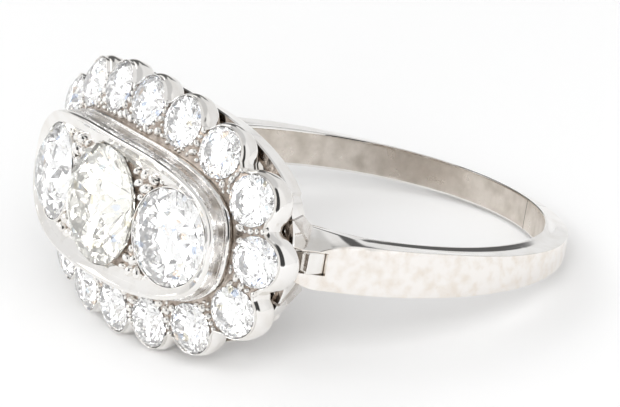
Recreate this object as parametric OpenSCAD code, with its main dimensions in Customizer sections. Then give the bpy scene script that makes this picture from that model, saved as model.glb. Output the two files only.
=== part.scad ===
// Engagement ring: three round stones in a raised oblong bezel, inside a scalloped halo of small stones.
// It is drawn as it is worn, X across the finger, Y along the finger and Z out through the head,
// and laid() then turns every piece into the pose in which the ring lies on a table.

/* [Hoop] */
// Inside diameter of the hoop
finger_d = 17.3; // [17:0.1:17.6]
// Width of the hoop at the palm, on the finger side
palm_w = 1.55; // [1.4:0.05:1.8]
// Width of the outer face at the palm
palm_face_w = 0.75; // [0.65:0.05:1]
// Thickness of the hoop at the palm
palm_t = 1; // [0.95:0.05:1.2]
// Width of the hoop at the shoulders, on the finger side
shoulder_w = 2; // [1.9:0.05:2.2]
// Width of the outer face at the shoulders
shoulder_face_w = 2.3; // [2.1:0.05:2.4]
// Thickness of the hoop at the shoulders
shoulder_t = 1.55; // [1.5:0.05:1.65]
// Height of the crown of the outer face
face_crown = 0.06; // [0.02:0.02:0.1]
// Angle of the solder seam from the middle of the palm
seam_angle = 10; // [-20:1:20]
// Width of the forked shoulder where it meets the head, on the finger side
fork_w = 2.4; // [2.2:0.1:2.8]
// Width of the outer face beside the block
fork_face_w = 1.35; // [1.25:0.05:1.5]

/* [Small stones] */
// Number of small stones
halo_count = 16; // [16]
// Girdle diameter of the small stones
halo_d = 2.2; // [2.1:0.02:2.2]
// Half length of the line through the small stones
halo_half_l = 8; // [8:0.05:8.1]
// Half width of the line through the small stones
halo_half_w = 4.5; // [4.45:0.05:4.6]
// Power of the oval line: 2 is an ellipse, more is squarer
halo_power = 2.45; // [2.4:0.05:2.5]
// Radius of the scallop around each small stone
scallop_r = 1.35; // [1.33:0.01:1.38]

/* [Large stones] */
// Girdle diameter of the centre stone
centre_d = 5.15; // [5:0.05:5.15]
// Girdle diameter of the side stones
side_d = 4.15; // [4:0.05:4.15]
// Distance from the centre stone to a side stone, across the head
side_x = 4.66; // [4.64:0.02:4.7]

/* [Head] */
// Height of the small stones' girdles above the finger's axis, at the middle
head_h = 11.3; // [11.2:0.05:11.5]
// Radius of the dome that the small stones lie on
dome_r = 18.5; // [18:0.5:19]
// Rise of the large stones' girdles above the small stones'
trio_rise = 0.93; // [0.87:0.02:0.99]
// Thickness of the scalloped plate below the girdles
plate_t = 1; // [0.95:0.05:1.1]
// Height of the scalloped rim above the girdles
rim_h = 0.12; // [0.08:0.02:0.16]
// Width of the scalloped rim
rim_w = 0.22; // [0.16:0.02:0.26]
// Thickness of the bezel wall
bezel_t = 0.42; // [0.36:0.02:0.46]
// Height of the bezel rim above the large stones' girdles
bezel_rim = 0.42; // [0.36:0.02:0.46]
// How much wider the bezel's foot is than its rim, on each long side
bezel_flare = 0.2; // [0.15:0.05:0.3]

/* [Gallery] */
// Height of the windows between the posts
window_h = 0.3; // [0.25:0.05:0.4]
// Width of the posts between the windows
post_w = 0.7; // [0.6:0.05:0.9]
// Depth of the rail below the windows
rail_h = 1; // [0.9:0.05:1.1]
// Thickness of the rail
rail_t = 0.75; // [0.6:0.05:0.8]
// Width of the block between the fork's two arms
block_w = 0.95; // [0.8:0.05:1]

/* [Brilliant cut] */
// Table width, as a share of the girdle diameter
table_share = 0.56; // [0.53:0.01:0.6]
// Crown angle in degrees
crown_angle = 33; // [31:0.5:34]
// Pavilion angle in degrees
pavilion_angle = 40.8; // [40:0.2:42]
// Girdle thickness, as a share of the girdle diameter
girdle_share = 0.03; // [0.02:0.005:0.04]

/* [Hidden] */
$fn = 48;
metal = [0.86, 0.85, 0.83];
stone = [0.93, 0.96, 0.98];
fit_gap = 0.01;
finger_r = finger_d / 2;
dome_z = head_h - dome_r;
trio_r = dome_r + trio_rise;
plate_bottom = dome_r - plate_t;
plate_top = dome_r + girdle_share * halo_d / 2;
rim_top = dome_r + rim_h;
trio_plate_t = 0.8;
trio_plate_bottom = trio_r - trio_plate_t;
trio_plate_top = trio_r - fit_gap;
bezel_top = trio_r + bezel_rim;
window_bottom = plate_bottom - window_h;
rail_bottom = window_bottom - rail_h;
grain_r = 0.2;
oval_n = 64;
arc_n = 8;

// The bezel follows the large stones: its inner oval touches the outer ends and the widest middle.
bezel_power = 2.8;
bezel_room = 0.08;
end_angle = asin(side_x / trio_r) + atan((side_d / 2 + bezel_room) / trio_r);
mid_angle = atan((centre_d / 2 + bezel_room) / trio_r);
wall_angle = atan(bezel_t / trio_r);
bezel_in = [dome_r * sin(end_angle), dome_r * sin(mid_angle)];
bezel_out = [dome_r * sin(end_angle + wall_angle), dome_r * sin(mid_angle + wall_angle)];
bezel_foot = [bezel_out[0], bezel_out[1] + bezel_flare];

// The rail stands a little inside the tips of the scallops.
rail_stand = 0.95;
rail_out = [halo_half_l + rail_stand, halo_half_w + rail_stand];
rail_in = [rail_out[0] - rail_t, rail_out[1] - rail_t];

// The ring lies on the lowest scallop and on the lower edge of the palm.
tip_angle = asin(halo_half_w / dome_r) + atan(scallop_r / dome_r);
tip = [rim_top * sin(tip_angle), dome_z + rim_top * cos(tip_angle)];
flank_share = 0.45;
rest_tilt = atan((tip[0] - palm_w / 2) / (tip[1] + finger_r + flank_share * palm_t));

function halo_name(i) = str("halo_diamond_", i < 9 ? "0" : "", i + 1);

// Ovals: a point of |x/a|^p + |y/b|^p = 1, and points of it that are evenly spaced along its length.
function signed_power(v, e) = sign(v) * pow(abs(v), e);
function oval(half, p, t) = [half[0] * signed_power(cos(t), 2 / p), half[1] * signed_power(sin(t), 2 / p)];
function oval_table(half, p, steps = 720) =
    let (line = [for (i = [0 : steps]) oval(half, p, i * 360 / steps)])
    [for (i = 0, run = 0; i <= steps; run = run + norm(line[min(i + 1, steps)] - line[i]), i = i + 1)
        [run, i * 360 / steps]];
function oval_at(half, p, table, share) =
    oval(half, p, lookup((share - floor(share)) * table[len(table) - 1][0], table));
function oval_ring(half, p, n) =
    let (table = oval_table(half, p)) [for (i = [0 : n - 1]) oval_at(half, p, table, i / n)];
function wider(half, d) = [half[0] + d, half[1] + d];

// The dome: a place on it is given by its X and Y at dome_r, and lies on the same ray at any other radius.
function dome_ray(xy) = [xy[0], xy[1], sqrt(dome_r * dome_r - xy * xy)] / dome_r;
function dome_point(xy, r) = [0, 0, dome_z] + r * dome_ray(xy);

// The line of small stones: share runs from stone to stone, and halves are the cusps between them.
halo_half = [halo_half_l, halo_half_w];
halo_table = oval_table(halo_half, halo_power);
halo_pitch = halo_table[len(halo_table) - 1][0] / halo_count;
function halo_xy(i) = oval_at(halo_half, halo_power, halo_table, i / halo_count);
function halo_out(i) = let (run = halo_xy(i + 0.05) - halo_xy(i - 0.05)) atan2(-run[0], run[1]);
function halo_turn(i) = let (xy = halo_xy(i)) [asin(norm(xy) / dome_r), atan2(xy[1], xy[0]), halo_out(i)];

// A vector in the frame of small stone i: away from the head, then along the line, then out of the dome.
function spun(v, a) = [v[0] * cos(a) - v[1] * sin(a), v[0] * sin(a) + v[1] * cos(a), v[2]];
function tipped(v, a) = [v[0] * cos(a) + v[2] * sin(a), v[1], v[2] * cos(a) - v[0] * sin(a)];
function halo_vector(i, v) =
    let (turn = halo_turn(i)) spun(tipped(spun(v, turn[2] - turn[1]), turn[0]), turn[1]);

// Scalloped outline, drawn in by d: each arc runs around its stone from cusp to cusp.
cusp_out = 0.47;
function cusp(i, d) = halo_vector(i, [cusp_out - d, 0, dome_r]);
function scallop_arc(i, d) =
    let (
        middle = halo_vector(i, [0, 0, dome_r]),
        away = halo_vector(i, [1, 0, 0]),
        along = halo_vector(i, [0, 1, 0]),
        first = cusp(i - 0.5, 0) - middle,
        last = cusp(i + 0.5, 0) - middle,
        from = atan2(first * along, first * away),
        to = atan2(last * along, last * away)
    )
    concat([cusp(i - 0.5, d)], [for (k = [1 : arc_n - 1])
        let (share = k / arc_n, a = from + (to - from) * share)
        middle + (scallop_r - d) * (cos(a) * away + sin(a) * along)]);
function scallop_ring(d) =
    [for (i = [0 : halo_count - 1]) for (p = scallop_arc(i, d)) dome_r / norm(p) * [p[0], p[1]]];

// Closed band of triangles through rows of dome points: outside going up, then inside going down.
module dome_loop(rows) {
    n = len(rows[0][0]);
    m = len(rows);
    points = [for (row = rows) for (xy = row[0]) dome_point(xy, row[1])];
    faces = [for (k = [0 : m - 1]) for (i = [0 : n - 1])
        let (
            a = k * n + i,
            b = k * n + (i + 1) % n,
            c = (k + 1) % m * n + (i + 1) % n,
            d = (k + 1) % m * n + i
        )
        each [[a, c, b], [a, d, c]]];
    polyhedron(points, faces, convexity = 8);
}

module laid() rotate([90 - rest_tilt, 0, 0]) children();

module on_halo(i) {
    turn = halo_turn(i);
    translate([0, 0, dome_z]) rotate([0, turn[0], turn[1]]) rotate([0, 0, turn[2] - turn[1]]) children();
}

module on_trio(x) {
    lean = asin(x / trio_r);
    translate([0, 0, dome_z]) rotate([0, lean, 0]) translate([0, 0, trio_r]) children();
}

// The finger hole. It leans by a hair, half a micrometre at the hoop's edge,
// so that no edge of the arms' facets runs exactly along its wall.
bore_lean = 0.03;
bore_h = 4 * halo_half_w;
module finger_bore() {
    rotate([90 + bore_lean, 0, 0]) cylinder(h = bore_h, r = finger_r, center = true, $fn = 180);
}

// Heights of a round brilliant of girdle diameter 1: table, star corners and lower halves.
table_r = table_share / 2;
star_r = 0.39;
half_r = 0.13;
girdle_h = girdle_share / 2;
table_h = girdle_h + (0.5 - table_r) * tan(crown_angle);
star_h = girdle_h + (0.5 - star_r * cos(22.5)) * tan(crown_angle);
half_h = -girdle_h - (0.5 - half_r * cos(22.5)) * tan(pavilion_angle);
culet_h = -girdle_h - 0.5 * tan(pavilion_angle);

function round_row(n, r, z, start) =
    [for (i = [0 : n - 1]) let (a = start + i * 360 / n) [r * cos(a), r * sin(a), z]];

// Round brilliant with its girdle's middle at the origin: 33 facets above the girdle and 24 below.
module brilliant(d) {
    points = concat(
        round_row(8, table_r, table_h, 0),
        round_row(8, star_r, star_h, 22.5),
        round_row(16, 0.5, girdle_h, 0),
        round_row(16, 0.5, -girdle_h, 0),
        round_row(8, half_r, half_h, 22.5),
        [[0, 0, culet_h]]
    );
    star = 8;
    upper = 16;
    lower = 32;
    half = 48;
    culet = 56;
    faces = concat(
        [[for (i = [7 : -1 : 0]) i]],
        [for (i = [0 : 7]) let (
            j = (i + 1) % 8,
            before = (i + 7) % 8,
            g = 2 * i,
            h = 2 * i + 1,
            k = (2 * i + 2) % 16
        ) each [
            [i, j, star + i],
            [i, star + i, upper + g],
            [i, upper + g, star + before],
            [star + i, upper + h, upper + g],
            [star + i, upper + k, upper + h],
            [upper + g, upper + h, lower + h],
            [upper + g, lower + h, lower + g],
            [upper + h, upper + k, lower + k],
            [upper + h, lower + k, lower + h],
            [half + i, lower + g, lower + h],
            [half + i, lower + h, lower + k],
            [culet, lower + g, half + i],
            [culet, half + before, lower + g]
        ]]
    );
    scale(d) polyhedron(points, faces, convexity = 2);
}

// Room for a brilliant: a through hole, a bearing under the pavilion, and the crown above the girdle.
module seat(d, hole_r, depth) {
    r = d / 2 + fit_gap;
    bearing = (r - hole_r) * tan(pavilion_angle);
    g = girdle_h * d;
    crown_h = table_h * d;
    rotate_extrude() polygon([
        [0, -depth],
        [hole_r, -depth],
        [hole_r, -g - bearing],
        [r, -g],
        [r, g + fit_gap],
        [table_r * d + fit_gap, crown_h + fit_gap],
        [table_r * d + fit_gap, 2 * crown_h],
        [0, 2 * crown_h]
    ]);
}

// Hoop: outer radius, widths and rows of sections from the seam to the top of the fork.
hoop_end = 118;
bore_stock = 0.5;
hoop_steps = 26;
fork_steps = 4;
outer_shift = (shoulder_t - palm_t) / (1 - cos(hoop_end));
outer_r = finger_r + palm_t + outer_shift;
heel_end = 139.5;
fork_top = [7.95, 7.3];
function hoop_r(a) = sqrt(pow(outer_r, 2) - pow(outer_shift * sin(a), 2)) - outer_shift * cos(a);
function grown(a, palm, shoulder) = palm + (shoulder - palm) * (1 - cos(a)) / (1 - cos(hoop_end));
function radial(r, a) = [r * sin(a), -r * cos(a)];
function mixed(from, to, share) = from * (1 - share) + to * share;

// Across the hoop: the flanks are as wide as the wider of the finger side and the middle of the slope.
function section(inside, outside, width_in, width_out) =
    let (
        edge = 0.1,
        thick = norm(outside - inside),
        out = (outside - inside) / thick,
        flank = inside + (bore_stock + flank_share * (thick - bore_stock)) * out,
        width_flank = max(width_in, mixed(width_in, width_out, flank_share)),
        ends = [
            [width_in / 2, inside],
            [width_flank / 2, flank],
            [width_out / 2, outside - edge * out],
            [width_out / 2 - edge, outside]
        ]
    )
    concat(
        [for (e = ends) [e[1][0], e[0], e[1][1]]],
        [[outside[0] + face_crown * out[0], 0, outside[1] + face_crown * out[1]]],
        [for (k = [3 : -1 : 0]) [ends[k][1][0], -ends[k][0], ends[k][1][1]]]
    );
function arm_rows(start) = concat(
    [for (k = [0 : hoop_steps])
        let (
            a = mixed(start, hoop_end, k / hoop_steps),
            width_in = grown(a, palm_w, shoulder_w),
            width_out = grown(a, palm_face_w, shoulder_face_w)
        )
        section(radial(finger_r - bore_stock, a), radial(hoop_r(a), a), width_in, width_out)],
    [for (k = [1 : fork_steps])
        let (
            share = k / fork_steps,
            inside = radial(finger_r - bore_stock, mixed(hoop_end, heel_end, share)),
            outside = mixed(radial(hoop_r(hoop_end), hoop_end), fork_top, share),
            width_in = mixed(shoulder_w, fork_w, share),
            width_out = mixed(shoulder_face_w, fork_face_w, share)
        )
        section(inside, outside, width_in, width_out)]
);

module swept(rows) {
    n = len(rows[0]);
    m = len(rows);
    points = [for (row = rows) for (p = row) p];
    faces = concat(
        [[for (i = [n - 1 : -1 : 0]) i]],
        [[for (i = [0 : n - 1]) (m - 1) * n + i]],
        [for (k = [0 : m - 2]) for (i = [0 : n - 1])
            let (a = k * n + i, b = k * n + (i + 1) % n) each [[a, b, a + n], [b, b + n, a + n]]]
    );
    polyhedron(points, faces, convexity = 6);
}

// Everything that the gallery encloses, so that what is soldered to its outside ends flush against it.
module gallery_room() {
    outer = oval_ring(rail_out, halo_power, oval_n);
    core = [for (xy = outer) xy * 0.05];
    dome_loop([[outer, rail_bottom], [outer, dome_r], [core, dome_r], [core, rail_bottom]]);
}

block_floor = 6.2;
block_face = 8.26;
block_root = 6.5;
block_h = 0.85;
slot_h = 2 * block_h;
slot_w = block_w + 2 * fit_gap;
module arm(start) {
    difference() {
        swept(arm_rows(start));
        finger_bore();
        gallery_room();
        translate([block_root, -slot_w / 2, block_floor]) cube([block_face, slot_w, slot_h]);
    }
}

module shank_right() color(metal) laid() arm(seam_angle);

module shank_left() color(metal) laid() mirror([1, 0, 0]) arm(-seam_angle);

// Block on the end of the gallery, which the fork straddles.
module end_block() {
    size = [block_face - block_root, block_w, block_h - fit_gap];
    difference() {
        translate([block_root, -block_w / 2, block_floor + fit_gap]) cube(size);
        gallery_room();
        finger_bore();
    }
}

module end_block_right() color(metal) laid() end_block();

module end_block_left() color(metal) laid() mirror([1, 0, 0]) end_block();

// Openwork under the plate: a rail that clears the finger, and posts up to the cusps.
module gallery() {
    outer = oval_ring(rail_out, halo_power, oval_n);
    inner = oval_ring(rail_in, halo_power, oval_n);
    top = plate_bottom - fit_gap;
    window_w = halo_pitch * window_bottom / dome_r - post_w;
    window = [4 * rail_t, window_w, 2 * window_h];
    color(metal) laid() difference() {
        dome_loop([[outer, rail_bottom], [outer, top], [inner, top], [inner, rail_bottom]]);
        finger_bore();
        for (i = [0 : halo_count - 1])
            on_halo(i) translate([0, -window_w / 2, window_bottom]) cube(window);
    }
}

// Lower edge of the scallops: on the rays along the head's sides, and straight below the rim at its ends.
skirt_power = 4;
skirt_end = dome_r * sin(asin(halo_half_l / dome_r) + atan(scallop_r / dome_r));
function skirted(xy) =
    let (share = pow(abs(xy[0]) / skirt_end, skirt_power))
    [xy[0] * (1 + share * plate_t / plate_bottom), xy[1]];

// Scalloped plate with a seat and grains for every small stone.
module cluster_plate() {
    inner = oval_ring(wider(bezel_foot, fit_gap), bezel_power, halo_count * arc_n);
    edge = scallop_ring(0);
    skirt = [for (xy = edge) skirted(xy)];
    ledge_share = 0.98;
    hole_r = 0.27 * halo_d;
    grain_places = [0.2, -0.55];
    color(metal) laid() difference() {
        union() {
            dome_loop([
                [edge * ledge_share, plate_bottom],
                [skirt, plate_bottom],
                [edge, rim_top],
                [scallop_ring(rim_w), rim_top],
                [scallop_ring(1.6 * rim_w), plate_top],
                [inner, plate_top],
                [inner, plate_bottom]
            ]);
            for (i = [0 : halo_count - 1]) for (out = grain_places)
                on_halo(i + 0.5) translate([out, 0, plate_top]) sphere(r = grain_r);
        }
        for (i = [0 : halo_count - 1])
            on_halo(i) translate([0, 0, dome_r]) seat(halo_d, hole_r, 2 * plate_t);
    }
}

// Raised wall around the large stones, with a wire at its foot.
module bezel_wall() {
    wire_h = 0.24;
    wire_t = 0.1;
    bevel = 0.1;
    slope_w = 0.2;
    foot = oval_ring(bezel_foot, bezel_power, oval_n);
    wire = oval_ring(wider(bezel_foot, wire_t), bezel_power, oval_n);
    inner = oval_ring(bezel_in, bezel_power, oval_n);
    color(metal) laid() dome_loop([
        [foot, plate_bottom],
        [foot, plate_top + fit_gap],
        [wire, plate_top + fit_gap],
        [wire, plate_top + wire_h],
        [foot, plate_top + wire_h + wire_t],
        [oval_ring(bezel_out, bezel_power, oval_n), bezel_top - bevel],
        [oval_ring(wider(bezel_out, -bevel), bezel_power, oval_n), bezel_top],
        [oval_ring(wider(bezel_in, slope_w), bezel_power, oval_n), bezel_top],
        [inner, trio_r + fit_gap],
        [inner, plate_bottom]
    ]);
}

// Plate inside the bezel with three seats, and grains in the four gaps between the stones.
module trio_plate() {
    ring = oval_ring(wider(bezel_in, -fit_gap), bezel_power, oval_n);
    middle = [for (xy = ring) xy * 0.6];
    core = [for (xy = ring) xy * 0.2];
    gap = [2.75, 1.85];
    gap_grains = [[0, 0], [-0.34, 0.16], [0.3, 0.2]];
    centre_hole_r = 0.3 * centre_d;
    side_hole_r = 0.25 * side_d;
    depth = 3;
    color(metal) laid() difference() {
        union() {
            dome_loop([
                [ring, trio_plate_bottom],
                [ring, trio_plate_top],
                [middle, trio_plate_top],
                [core, trio_plate_top],
                [core, trio_plate_bottom],
                [middle, trio_plate_bottom]
            ]);
            for (side_a = [-1, 1]) for (side_b = [-1, 1]) for (p = gap_grains) {
                place = [side_a * (gap[0] + p[0]), side_b * (gap[1] + p[1])];
                translate(dome_point(place * dome_r / trio_r, trio_plate_top)) sphere(r = grain_r);
            }
        }
        on_trio(0) seat(centre_d, centre_hole_r, depth);
        on_trio(side_x) seat(side_d, side_hole_r, depth);
        on_trio(-side_x) seat(side_d, side_hole_r, depth);
    }
}

module centre_diamond() color(stone) laid() on_trio(0) brilliant(centre_d);

module left_diamond() color(stone) laid() on_trio(-side_x) brilliant(side_d);

module right_diamond() color(stone) laid() on_trio(side_x) brilliant(side_d);

module halo_diamond(i) color(stone) laid() on_halo(i) translate([0, 0, dome_r]) brilliant(halo_d);

shank_left();
shank_right();
end_block_left();
end_block_right();
gallery();
cluster_plate();
bezel_wall();
trio_plate();
centre_diamond();
left_diamond();
right_diamond();
for (i = [0 : halo_count - 1]) halo_diamond(i);
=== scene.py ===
import math
import random

import bmesh
import bpy
import numpy as np
from mathutils import Matrix, Vector

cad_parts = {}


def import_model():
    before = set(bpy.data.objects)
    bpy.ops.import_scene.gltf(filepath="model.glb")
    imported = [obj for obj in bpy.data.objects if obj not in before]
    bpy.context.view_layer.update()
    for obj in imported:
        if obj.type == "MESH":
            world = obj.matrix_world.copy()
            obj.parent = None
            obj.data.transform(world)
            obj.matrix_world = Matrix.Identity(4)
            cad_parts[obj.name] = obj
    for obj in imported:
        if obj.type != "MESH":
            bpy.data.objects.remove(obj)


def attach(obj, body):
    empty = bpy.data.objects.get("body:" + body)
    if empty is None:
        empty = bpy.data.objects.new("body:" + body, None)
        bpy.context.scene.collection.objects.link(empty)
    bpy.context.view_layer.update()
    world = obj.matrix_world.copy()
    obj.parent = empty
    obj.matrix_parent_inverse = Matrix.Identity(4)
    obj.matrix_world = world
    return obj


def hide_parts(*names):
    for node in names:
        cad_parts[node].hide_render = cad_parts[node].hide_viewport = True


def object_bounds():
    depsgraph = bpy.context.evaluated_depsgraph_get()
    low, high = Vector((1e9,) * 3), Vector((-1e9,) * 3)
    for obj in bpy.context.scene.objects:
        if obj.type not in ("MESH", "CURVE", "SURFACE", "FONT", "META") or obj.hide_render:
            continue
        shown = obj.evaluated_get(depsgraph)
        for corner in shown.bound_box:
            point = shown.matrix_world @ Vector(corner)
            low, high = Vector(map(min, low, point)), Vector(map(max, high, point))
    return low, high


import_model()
cad_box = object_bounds()

# Sizes in millimetres, as in the part's source. The ring is drawn as worn: X across the finger, Y along it,
# Z out through the head. laid() turns it into the pose in which it lies on the table.
MM = 0.001
REST_TILT = math.radians(14.478)
FINGER_R = 8.65

# Head: heights are radii from the centre of the dome that its pieces lie on
DOME_R = 18.5
DOME_Z = -7.2
DOME_CENTRE = np.array([0, 0, DOME_Z])
TRIO_R = 19.43
BEZEL_TOP = 19.85
PLATE_BOTTOM = 17.5
RAIL_TOP = 17.3
RAIL_BOTTOM = 16.2
RAIL_HALF = (8.95, 5.45)

# Small stones and the scalloped edge around them
HALO_COUNT = 16
HALO_D = 2.2
HALO_HALF = (8.0, 4.5)
HALO_POWER = 2.45
SCALLOP_R = 1.35
CUSP_OUT = 0.47

# Large stones and the bezel around them
CENTRE_D = 5.15
SIDE_D = 4.15
SIDE_X = 4.66
STONE_ROOM = 0.08
BEZEL_T = 0.42
BEZEL_FLARE = 0.2
BEZEL_POWER = 2.8

# Brilliant cut, as shares of the girdle's diameter
CROWN = math.radians(33)
PAVILION = math.radians(40.8)
GIRDLE_H = 0.015
TABLE_R = 0.28
TABLE_H = GIRDLE_H + (0.5 - TABLE_R) * math.tan(CROWN)

# Points along one scallop, and along a whole oval
ARC_STEPS = 22
OVAL_STEPS = 320

random.seed(7)


# Ovals and the dome that the head's pieces lie on

class OvalLine:
    """Points of |x/a|^p + |y/b|^p = 1, evenly spaced along its length."""

    def __init__(self, half, power):
        turn = np.linspace(0, 2 * math.pi, 2881)
        self.turn = turn
        self.half = half
        self.power = power
        line = self.point(turn)
        self.run = np.concatenate([[0], np.cumsum(np.linalg.norm(np.diff(line, axis=0), axis=1))])

    def point(self, turn):
        c, s = np.cos(turn), np.sin(turn)
        x = self.half[0] * np.sign(c) * np.abs(c) ** (2 / self.power)
        y = self.half[1] * np.sign(s) * np.abs(s) ** (2 / self.power)
        return np.stack([x, y], -1)

    def at(self, share):
        return self.point(np.interp(np.mod(share, 1.0) * self.run[-1], self.run, self.turn))

    def ring(self, count, start=0.0):
        return self.at(start + np.arange(count) / count)


HALO = OvalLine(HALO_HALF, HALO_POWER)


def bezel_half(spread, flare=0.0):
    """Half axes, at the dome's radius, of the line that stands off the large stones by spread."""
    end = math.asin(SIDE_X / TRIO_R) + math.atan((SIDE_D / 2 + STONE_ROOM) / TRIO_R)
    middle = math.atan((CENTRE_D / 2 + STONE_ROOM) / TRIO_R)
    wall = math.atan(spread / TRIO_R)
    return DOME_R * math.sin(end + wall), DOME_R * math.sin(middle + wall) + flare * BEZEL_FLARE


def on_dome(xy, radius):
    """Points of a plan at the dome's radius, moved along the dome's rays to another radius."""
    xy = np.asarray(xy, float)
    rise = np.sqrt(DOME_R ** 2 - (xy ** 2).sum(-1, keepdims=True))
    return np.concatenate([xy, rise], -1) * (np.asarray(radius) / DOME_R) + DOME_CENTRE


def turn_z(a):
    return np.array([[math.cos(a), -math.sin(a), 0], [math.sin(a), math.cos(a), 0], [0, 0, 1]])


def turn_y(a):
    return np.array([[math.cos(a), 0, math.sin(a)], [0, 1, 0], [-math.sin(a), 0, math.cos(a)]])


def halo_axes(i):
    """Axes at place i of the line of small stones: away from the head, along the line, out of the dome."""
    xy = HALO.at(i / HALO_COUNT)
    run = HALO.at((i + 0.05) / HALO_COUNT) - HALO.at((i - 0.05) / HALO_COUNT)
    turn = math.atan2(xy[1], xy[0])
    lean = math.asin(np.linalg.norm(xy) / DOME_R)
    out = math.atan2(-run[0], run[1])
    return turn_z(turn) @ turn_y(lean) @ turn_z(out - turn)


def halo_place(i, points):
    """Points given as away, along and dome radius at place i."""
    return np.asarray(points, float) @ halo_axes(i).T + DOME_CENTRE


def trio_place(x, points):
    """Points around a large stone's girdle, moved to the place of the stone at x."""
    lean = math.asin(x / TRIO_R)
    return (np.asarray(points, float) + np.array([0, 0, TRIO_R])) @ turn_y(lean).T + DOME_CENTRE


def cusp(i, inset):
    return halo_axes(i) @ np.array([CUSP_OUT - inset, 0, DOME_R])


def scallops(inset):
    """Scalloped outline at the dome's radius, drawn in by inset, with a cusp between every two small stones."""
    points = []
    for i in range(HALO_COUNT):
        axes = halo_axes(i)
        away, along, middle = axes[:, 0], axes[:, 1], axes[:, 2] * DOME_R
        first, last = cusp(i - 0.5, 0) - middle, cusp(i + 0.5, 0) - middle
        a0 = math.atan2(first @ along, first @ away)
        a1 = math.atan2(last @ along, last @ away)
        points.append(cusp(i - 0.5, inset))
        for k in range(1, ARC_STEPS):
            a = a0 + (a1 - a0) * k / ARC_STEPS
            points.append(middle + (SCALLOP_R - inset) * (math.cos(a) * away + math.sin(a) * along))
    points = np.array(points)
    return points[:, :2] * (DOME_R / np.linalg.norm(points, axis=1))[:, None]


# Meshes: every maker returns points and faces in the worn frame

def band(rows):
    """Closed band through rows of points: outside going up, then inside going down."""
    n, m = len(rows[0]), len(rows)
    faces = []
    for k in range(m):
        for i in range(n):
            j, up = (i + 1) % n, (k + 1) % m
            faces.append((k * n + i, k * n + j, up * n + j, up * n + i))
    return np.concatenate(rows), faces


def swept(rows):
    """Bar through rows of points, with a flat cap on each end."""
    n, m = len(rows[0]), len(rows)
    faces = [tuple(range(n - 1, -1, -1)), tuple((m - 1) * n + i for i in range(n))]
    for k in range(m - 1):
        for i in range(n):
            j = (i + 1) % n
            faces.append((k * n + i, k * n + j, (k + 1) * n + j, (k + 1) * n + i))
    return np.concatenate(rows), faces


def lathe(profile, steps=56):
    """Solid of revolution about Z from a profile of radius and height that begins and ends on the axis."""
    points = [(0, 0, profile[0][1])]
    rings = []
    for r, z in profile[1:-1]:
        rings.append(len(points))
        for i in range(steps):
            a = 2 * math.pi * i / steps
            points.append((r * math.cos(a), r * math.sin(a), z))
    top = len(points)
    points.append((0, 0, profile[-1][1]))
    faces = []
    for i in range(steps):
        j = (i + 1) % steps
        faces.append((0, rings[0] + j, rings[0] + i))
        faces.append((top, rings[-1] + i, rings[-1] + j))
        for low, high in zip(rings, rings[1:]):
            faces.append((low + i, low + j, high + j, high + i))
    return np.array(points), faces


def box(low, high):
    x, y, z = zip(low, high)
    points = [(a, b, c) for c in z for b in y for a in x]
    faces = [(0, 2, 3, 1), (4, 5, 7, 6), (0, 1, 5, 4), (2, 6, 7, 3), (0, 4, 6, 2), (1, 3, 7, 5)]
    return np.array(points, float), faces


def merged(parts):
    points, faces, base = [], [], 0
    for p, f in parts:
        points.append(p)
        faces += [tuple(i + base for i in face) for face in f]
        base += len(p)
    return np.concatenate(points), faces


def laid(points):
    """Points of the worn ring, turned into the pose in which it lies on the table."""
    a = math.pi / 2 - REST_TILT
    points = np.asarray(points, float)
    y = points[:, 1] * math.cos(a) - points[:, 2] * math.sin(a)
    z = points[:, 1] * math.sin(a) + points[:, 2] * math.cos(a)
    return np.stack([points[:, 0], y, z], 1)


def raw_object(name, shape, slots=(0,)):
    mesh = bpy.data.meshes.new(name)
    mesh.from_pydata([tuple(p) for p in shape[0]], [], shape[1])
    if len(slots) == len(shape[1]):
        mesh.polygons.foreach_set("material_index", slots)
    else:
        mesh.polygons.foreach_set("material_index", [slots[0]] * len(shape[1]))
    piece = bpy.data.objects.new(name, mesh)
    bpy.context.scene.collection.objects.link(piece)
    return piece


def cut(piece, tools, slot_count=2):
    """Takes every tool's solid out of the piece. A cut face keeps the slot of the tool that made it."""
    for _ in range(slot_count):
        piece.data.materials.append(None)
    for tool in tools:
        for _ in range(slot_count):
            tool.data.materials.append(None)
        step = piece.modifiers.new("cut", "BOOLEAN")
        step.operation = "DIFFERENCE"
        step.solver = "MANIFOLD"
        step.object = tool
    bpy.context.view_layer.update()
    shown = piece.evaluated_get(bpy.context.evaluated_depsgraph_get())
    mesh = bpy.data.meshes.new_from_object(shown)
    piece.modifiers.clear()
    piece.data = mesh
    for tool in tools:
        bpy.data.objects.remove(tool)


def add_shells(piece, shape, slot):
    """Adds further closed shells, such as grains, to a piece's mesh."""
    bm = bmesh.new()
    bm.from_mesh(piece.data)
    made = [bm.verts.new(p) for p in shape[0]]
    for face in shape[1]:
        bm.faces.new([made[i] for i in face]).material_index = slot
    bm.to_mesh(piece.data)
    bm.free()


def finish_piece(piece, materials, replaces, smooth_angle=32):
    """Lays the piece in the part's frame, in metres, and gives it materials, smooth faces and a body."""
    mesh = piece.data
    points = np.zeros(len(mesh.vertices) * 3)
    mesh.vertices.foreach_get("co", points)
    mesh.vertices.foreach_set("co", (laid(points.reshape(-1, 3)) * MM).ravel())
    mesh.update()
    slots = np.zeros(len(mesh.polygons), int)
    mesh.polygons.foreach_get("material_index", slots)
    mesh.materials.clear()
    for material in materials:
        mesh.materials.append(material)
    mesh.polygons.foreach_set("material_index", np.minimum(slots, len(materials) - 1))
    mesh.shade_smooth()
    mesh.set_sharp_from_angle(angle=math.radians(smooth_angle))
    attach(piece, "root")
    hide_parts(*replaces)


# Materials

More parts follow.
